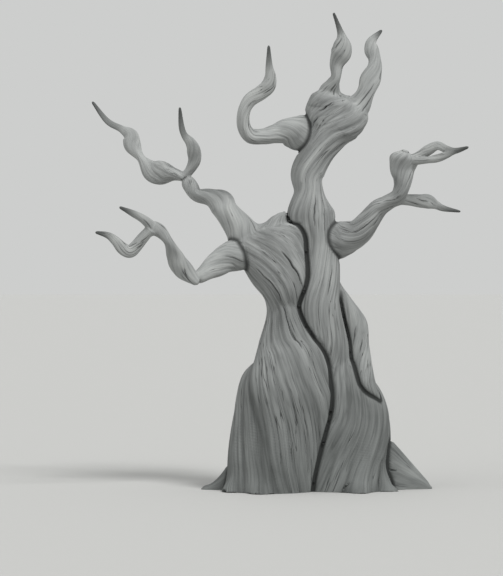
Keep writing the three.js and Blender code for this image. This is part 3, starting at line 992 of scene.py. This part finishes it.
# Where a piece was parted, its skin is closed inside the wood, onto points this many frames apart on the
# middle line of its limbs, no nearer to a limb's end than its thickness there. The points of each opening are
# drawn this little towards it and so stay its own.
CLOSING_FRAMES = 3
DRAWN_TO_OPENING = 0.02


def openings(bm):
    """The rings of open edges where a piece was parted from its neighbours and cut at the ground."""
    left = {edge for edge in bm.edges if edge.is_boundary}
    rings = []
    while left:
        ring, reached = [], [left.pop()]
        while reached:
            edge = reached.pop()
            ring.append(edge)
            beside = {other for vert in edge.verts for other in vert.link_edges} & left
            left -= beside
            reached += beside
        rings.append(ring)
    return rings


def middle_line(courses, places):
    """For each place, the nearest of the points on the middle lines of the limbs that closings run to."""
    best = np.full(len(places), np.inf)
    target = places.copy()
    for course in courses:
        found = near_limb(course, places)
        wins = found.distance < best[found.index]
        index = found.index[wins]
        best[index] = found.distance[wins]
        frames = np.round(found.at[wins] / CLOSING_FRAMES).astype(int) * CLOSING_FRAMES
        target[index] = course.centre[np.minimum(frames, course.inmost)]
    target[:, 2] = np.where(places[:, 2] > 0, np.maximum(target[:, 2], 0), 0)
    return target


def face_like_neighbour(face):
    """Turns a face over if it runs along an edge the same way as the face on the other side of it does."""
    for loop in face.loops:
        for other in loop.edge.link_loops:
            if other.face is not face:
                if other.vert is loop.vert:
                    face.normal_flip()
                return


def close(thing, courses):
    """Closes a piece inside the wood with a curtain from each opening to the middle of its limbs."""
    bm = bmesh.new()
    bm.from_mesh(thing.data)
    for ring in openings(bm):
        made = bmesh.ops.extrude_edge_only(bm, edges=ring)["geom"]
        inner = [v for v in made if isinstance(v, bmesh.types.BMVert)]
        places = np.array([v.co for v in inner], float)
        targets = middle_line(courses, places)
        towards = DRAWN_TO_OPENING * (places.mean(0) - targets)
        towards[:, 2] *= places[:, 2] > 0
        for vert, target in zip(inner, targets + towards):
            vert.co = target
        bmesh.ops.remove_doubles(bm, verts=inner, dist=SAME_PLACE)
    gaps = [edge for edge in bm.edges if edge.is_boundary]
    for face in bmesh.ops.holes_fill(bm, edges=gaps, sides=0)["faces"]:
        face_like_neighbour(face)
    bm.to_mesh(thing.data)
    bm.free()


def keep_skin_normals(mesh):
    """Shades a piece as part of the whole skin, so that no edge shows where it was parted."""
    mesh.shade_smooth()
    attribute = mesh.attributes["skin_normal"]
    mesh.normals_split_custom_set_from_vertices(read(attribute.data, "vector", 3, np.float32))
    mesh.attributes.remove(mesh.attributes["skin_normal"])


def linear(colour):
    """An sRGB hex colour as linear red, green and blue with alpha."""
    shares = [int(colour[i : i + 2], 16) / 255 for i in (1, 3, 5)]
    return (*(s / 12.92 if s <= 0.04045 else ((s + 0.055) / 1.055) ** 2.4 for s in shares), 1)


def add(tree, kind, inputs=None, stops=(), **settings):
    """Adds a node, sets it up, and fills its sockets with values or with the outputs of other nodes."""
    made = tree.nodes.new("ShaderNode" + kind)
    for name, value in settings.items():
        setattr(made, name, value)
    for socket, value in (inputs or {}).items():
        if isinstance(value, bpy.types.NodeSocket):
            tree.links.new(value, made.inputs[socket])
        else:
            made.inputs[socket].default_value = value
    for i, (place, colour) in enumerate(stops):
        stop = made.color_ramp.elements[i] if i < 2 else made.color_ramp.elements.new(place)
        stop.position = place
        stop.color = linear(colour)
    return made


# Sizes of the patterns in the wood. Real fibres are finer than a millimetre, so bundles of them are drawn.
# This scale draws them out further than the grain.
FIBRE_BUNDLE = 0.010
FIBRE_SCALE = (1, 1, 0.4)
PATCH = 0.8

# Hairline checks: how far apart, wide and deep they are. They open between these two shades of a streak.
HAIRLINE_SPACING = 0.045
HAIRLINE_WIDTH = 0.014
HAIRLINE_DEPTH = 1.5
HAIRLINES_FROM = -0.05
HAIRLINES_FULL = 0.2

# Dead wood without its bark goes silver grey: shaded, plain and sunlit, by place in its range of tones.
TONES = ((0.08, "#656766"), (0.42, "#909291"), (0.74, "#AFB1AF"))

# How strongly each pattern moves the tone up from the middle of the range, or down. Furrows move it down,
# as painted shade in them.
MIDDLE_TONE = 0.5
FIBRE_SWING = 0.45
PATCH_SWING = 0.6
STREAK_SWING = 0.26
BLEACHED_SWING = 0.05
FURROW_SHADE_SWING = -0.42

# The wood is darker towards the ground, up to these heights, and dark at its thin tips.
GROUND_TINT = "#C4C6C5"
GROUND_TINT_FULL_BELOW = 0.2
GROUND_TINT_GONE_ABOVE = 3.0
TIP_GREY = "#4E504F"

# It is painted nearly black inside its cracks and seams, as painted shade with some dirt: how dark it gets
# at most, and between which shares of a seam's depth it darkens.
SHADE_AND_DIRT_GREY = "#252726"
DARKEST = 0.94
SEAM_FROM = 0.15
SEAM_FULL = 0.75

# The relief of the fibres, how much less dull the lightest wood is, and how little light all of it mirrors.
BUMP_HEIGHT = 0.006
BUMP_STRENGTH = 0.7
POLISH = 0.15
MIRRORING = 0.3


def weathered_wood(name, dullness):
    """Barkless wood greyed by sun and rain: dull, fibrous and split along its grain. It is darkened by
    painted shade in its furrows, and by painted shade and some dirt in its cracks and seams.
    """
    material = bpy.data.materials.new(name)
    material.use_nodes = True
    tree = material.node_tree
    tree.nodes.clear()
    kept = ("grain", "wear", "tone")
    grain, wear, tones = (add(tree, "Attribute", attribute_name=kind).outputs["Vector"] for kind in kept)
    # The furrows, cracks and seams, where shade is painted, with some dirt in the cracks and seams.
    furrow, crack, seam = add(tree, "SeparateXYZ", {"Vector": wear}).outputs
    streak, bleached, thin = add(tree, "SeparateXYZ", {"Vector": tones}).outputs
    place = add(tree, "TexCoord").outputs["Object"]
    height = add(tree, "SeparateXYZ", {"Vector": place}).outputs["Z"]

    long_grain = add(tree, "Mapping", {"Vector": grain, "Scale": FIBRE_SCALE}).outputs["Vector"]
    fibre_pattern = {"Vector": long_grain, "Scale": 1 / FIBRE_BUNDLE, "Detail": 4, "Roughness": 0.6}
    fibres = add(tree, "TexNoise", fibre_pattern).outputs["Fac"]
    patches = add(tree, "TexNoise", {"Vector": place, "Scale": 1 / PATCH, "Detail": 3, "Roughness": 0.5})

    # Hairline checks open where a pattern drawn out along the grain crosses its middle, in light streaks.
    lines = add(tree, "TexNoise", {"Vector": long_grain, "Scale": 1 / HAIRLINE_SPACING, "Detail": 2})
    off_line = add(tree, "Math", {0: lines.outputs["Fac"], 1: 0.5}, operation="SUBTRACT").outputs[0]
    off_line = add(tree, "Math", {0: off_line}, operation="ABSOLUTE").outputs[0]
    on_line = add(tree, "MapRange", {"Value": off_line, "From Max": HAIRLINE_WIDTH, "To Min": 1, "To Max": 0})
    here = add(tree, "MapRange", {"Value": streak, "From Min": HAIRLINES_FROM, "From Max": HAIRLINES_FULL})
    hairline = add(tree, "Math", {0: on_line.outputs[0], 1: here.outputs[0]}, operation="MULTIPLY").outputs[0]

    tone = MIDDLE_TONE
    swings = (
        (add(tree, "Math", {0: fibres, 1: 0.5}, operation="SUBTRACT").outputs[0], FIBRE_SWING),
        (add(tree, "Math", {0: patches.outputs[0], 1: 0.5}, operation="SUBTRACT").outputs[0], PATCH_SWING),
        (streak, STREAK_SWING),
        (bleached, BLEACHED_SWING),
        (furrow, FURROW_SHADE_SWING),
    )
    for source, swing in swings:
        tone = add(tree, "Math", {0: source, 1: swing, 2: tone}, operation="MULTIPLY_ADD").outputs[0]
    colour = add(tree, "ValToRGB", {"Fac": tone}, stops=TONES).outputs["Color"]

    towards_ground = {"Value": height, "From Min": GROUND_TINT_FULL_BELOW, "From Max": GROUND_TINT_GONE_ABOVE, "To Min": 1, "To Max": 0}
    lower_down = add(tree, "MapRange", towards_ground).outputs[0]
    # Cracks, hairline checks and seams are painted nearly black: painted shade, with some dirt.
    opening = add(tree, "Math", {0: crack, 1: hairline}, operation="MAXIMUM").outputs[0]
    seam = add(tree, "MapRange", {"Value": seam, "From Min": SEAM_FROM, "From Max": SEAM_FULL}).outputs[0]
    dark = add(tree, "Math", {0: opening, 1: seam}, operation="MAXIMUM").outputs[0]
    dark = add(tree, "Math", {0: dark, 1: DARKEST}, operation="MULTIPLY", use_clamp=True).outputs[0]
    layers = ((lower_down, GROUND_TINT, "MULTIPLY"), (thin, TIP_GREY, "MIX"), (dark, SHADE_AND_DIRT_GREY, "MIX"))
    for share, tint, blend in layers:
        mixed = {0: share, 6: colour, 7: linear(tint)}
        colour = add(tree, "Mix", mixed, data_type="RGBA", blend_type=blend).outputs[2]

    relief = {0: hairline, 1: -HAIRLINE_DEPTH, 2: fibres}
    relief = add(tree, "Math", relief, operation="MULTIPLY_ADD").outputs[0]
    bump = add(tree, "Bump", {"Height": relief, "Distance": BUMP_HEIGHT, "Strength": BUMP_STRENGTH})
    shine = add(tree, "MapRange", {"Value": tone, "To Min": dullness, "To Max": dullness - POLISH})
    surface = {
        "Base Color": colour,
        "Roughness": shine.outputs[0],
        "Specular IOR Level": MIRRORING,
        "Normal": bump.outputs["Normal"],
    }
    shader = add(tree, "BsdfPrincipled", surface)
    add(tree, "OutputMaterial", {"Surface": shader.outputs[0]})
    return material


# The studio's floor, with its size and dullness, and the grey of the light from all round.
FLOOR_SIDES = 96
FLOOR_RADIUS = 900
FLOOR_GREY = "#B4B4B2"
FLOOR_DULLNESS = 0.9
SKY_GREY = "#CDCECD"

# Lamps by strength and, in degrees, how large they look, their height and their heading from the front.
LAMPS = {"key": (2.4, 18, 48, 40), "fill": (0.7, 60, 30, -60)}

# The camera stands well back from the tree's front, so the tree shows almost without perspective.
CAMERA_PLACE = (-0.744, -30, 2.512)
CAMERA_LENS = 150


def soft_sun(name, strength, spread, height, heading):
    """A large soft lamp far away, at a height above the ground and a heading round from the front."""
    lamp = bpy.data.lights.new(name, "SUN")
    lamp.energy = strength
    lamp.angle = math.radians(spread)
    sun = link(bpy.data.objects.new(name, lamp))
    sun.rotation_euler = (math.radians(90 - height), 0, math.radians(heading))


def studio():
    """A plain pale floor and soft light from all round, brightest from above the right of the front."""
    bm = bmesh.new()
    bmesh.ops.create_circle(bm, cap_ends=True, segments=FLOOR_SIDES, radius=FLOOR_RADIUS)
    floor = object_of("floor", bm)
    paint = bpy.data.materials.new("matt_floor_paint")
    paint.use_nodes = True
    paint.node_tree.nodes.clear()
    coat = {"Base Color": linear(FLOOR_GREY), "Roughness": FLOOR_DULLNESS}
    shader = add(paint.node_tree, "BsdfPrincipled", coat)
    add(paint.node_tree, "OutputMaterial", {"Surface": shader.outputs[0]})
    floor.data.materials.append(paint)
    world = bpy.data.worlds.new("studio")
    world.use_nodes = True
    sky = world.node_tree.nodes["Background"].inputs
    sky["Color"].default_value = linear(SKY_GREY)
    sky["Strength"].default_value = 1
    bpy.context.scene.world = world
    for name, lamp in LAMPS.items():
        soft_sun(name, *lamp)


def photographers_view():
    """Sets up the camera, level and straight in front of the tree."""
    camera = bpy.data.objects.new("camera", bpy.data.cameras.new("camera"))
    camera.data.lens = CAMERA_LENS
    camera.location = CAMERA_PLACE
    camera.rotation_euler = (math.radians(90), 0, 0)
    bpy.context.scene.camera = link(camera)


# The stems' wood is rougher and duller, and the boughs' wood has been polished a little by wind and sand.
STEM_NODES = ("right_stem", "left_stem", "side_strand")
stem_wood = weathered_wood("weathered_stem_wood", dullness=0.95)
bough_wood = weathered_wood("sun_bleached_bough_wood", dullness=0.88)

courses = {limb: Course(limb) for limb in LIMBS}
skin = grown_together(courses)
edges = read(skin.data.edges, "vertices", 2, np.int32)
settle(skin, courses, edges, rounds=3)
piece = without_scraps(weather(skin, courses, edges), edges, rounds=4)
for name, thing in part(skin, piece).items():
    node = name.removesuffix("_upper")
    own_limbs = [limb for limb in LIMBS if name in (limb.piece, limb.beyond)]
    close(thing, [courses[limb] for limb in own_limbs])
    keep_skin_normals(thing.data)
    thing.name = name + "_wood"
    thing.data.materials.clear()
    thing.data.materials.append(stem_wood if node in STEM_NODES else bough_wood)
    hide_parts(node)
    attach(thing, "root")

studio()
photographers_view()
bpy.context.scene.view_settings.view_transform = "Standard"
